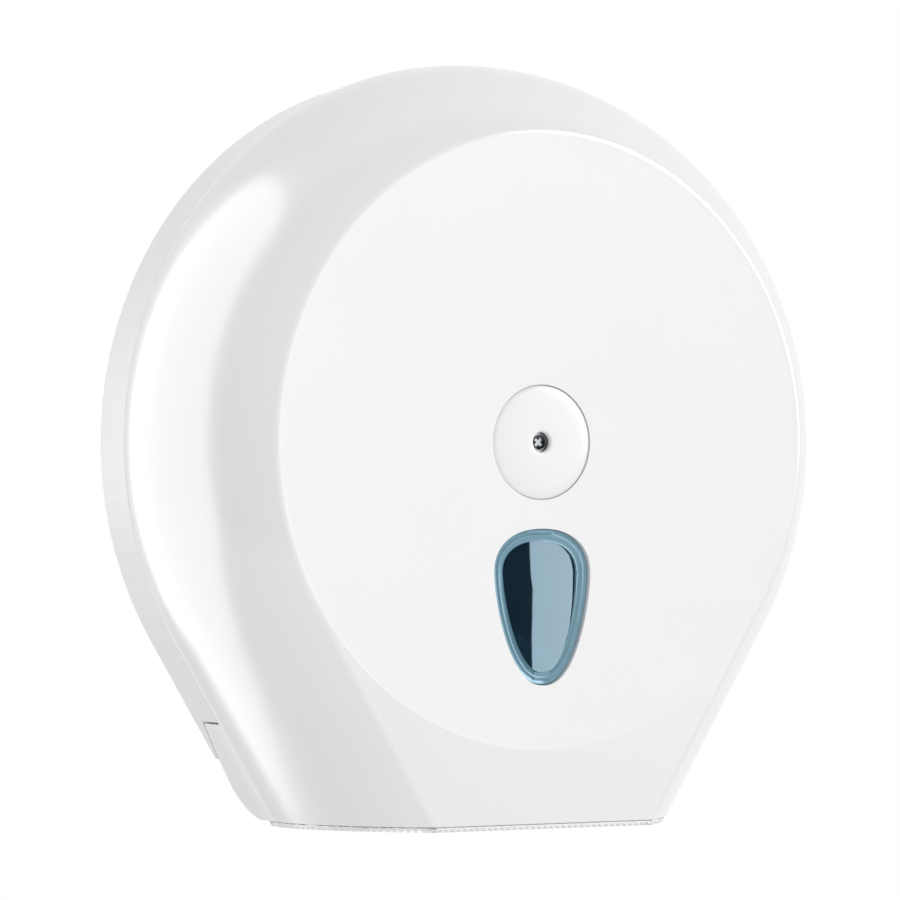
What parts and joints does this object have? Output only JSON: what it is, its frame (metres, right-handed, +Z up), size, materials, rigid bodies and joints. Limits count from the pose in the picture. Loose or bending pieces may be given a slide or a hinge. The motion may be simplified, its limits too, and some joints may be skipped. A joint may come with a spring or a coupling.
{
  "type": "jumbo toilet roll dispenser",
  "caption": "Wall dispenser for a jumbo toilet roll with a swing-down round cover, a level window, a key lock, a turning hub and a toothed tear edge.",
  "frame": {"origin": "on the wall plane, on the spindle's axis, at the centre of the wall screw pattern", "axes": "+X to the viewer's right, +Y into the wall, +Z up; the cover's front faces -Y"},
  "size_m": [0.3588, 0.112, 0.3601],
  "materials": {
    "white_cover": "semi-gloss moulded ABS",
    "white_plate": "semi-gloss moulded ABS",
    "white_strip": "semi-gloss moulded ABS",
    "blue_lens": "clear tinted polycarbonate",
    "grey_plastic": "moulded polypropylene",
    "light_grey_plastic": "moulded polypropylene",
    "rubber_washer": "matt rubber",
    "zinc_casting": "satin zinc casting",
    "zinc_screws": "zinc-plated steel",
    "steel_pins": "ground steel",
    "spring_steel": "spring steel"
  },
  "bodies": {
    "base": {"backplate": "white_plate", "spindle_post": "grey_plastic", "spindle_screws": "zinc_screws", "brake_washer": "rubber_washer", "hub_retainer": "spring_steel", "lock_striker": "zinc_casting", "hinge_pin_left": "steel_pins", "hinge_pin_right": "steel_pins"},
    "hub": {"roll_hub": "grey_plastic", "core_adapter": "light_grey_plastic"},
    "cover": {"cover_shell": "white_cover", "window_lens": "blue_lens", "lens_frame": "light_grey_plastic", "lens_screws": "zinc_screws", "lock_plate": "white_cover", "lock_housing": "light_grey_plastic", "housing_screws": "zinc_screws", "detent_spring": "spring_steel", "tear_strip": "white_strip", "tear_strip_screws": "zinc_screws"},
    "lock": {"lock_barrel": "zinc_casting", "lock_cam": "steel_pins", "cam_screw": "zinc_screws"}
  },
  "joints": [
    {"name": "cover_hinge", "type": "hinge", "parent": "base", "child": "cover", "pos_m": [0, -0.016, -0.1628], "axis": [1, 0, 0], "range_deg": [0, 80]},
    {"name": "hub_spin", "type": "hinge", "parent": "base", "child": "hub", "pos_m": [0, 0, 0], "axis": [0, -1, 0], "continuous": true},
    {"name": "lock_turn", "type": "hinge", "parent": "cover", "child": "lock", "pos_m": [0, 0, 0], "axis": [0, -1, 0], "range_deg": [0, 90]}
  ]
}
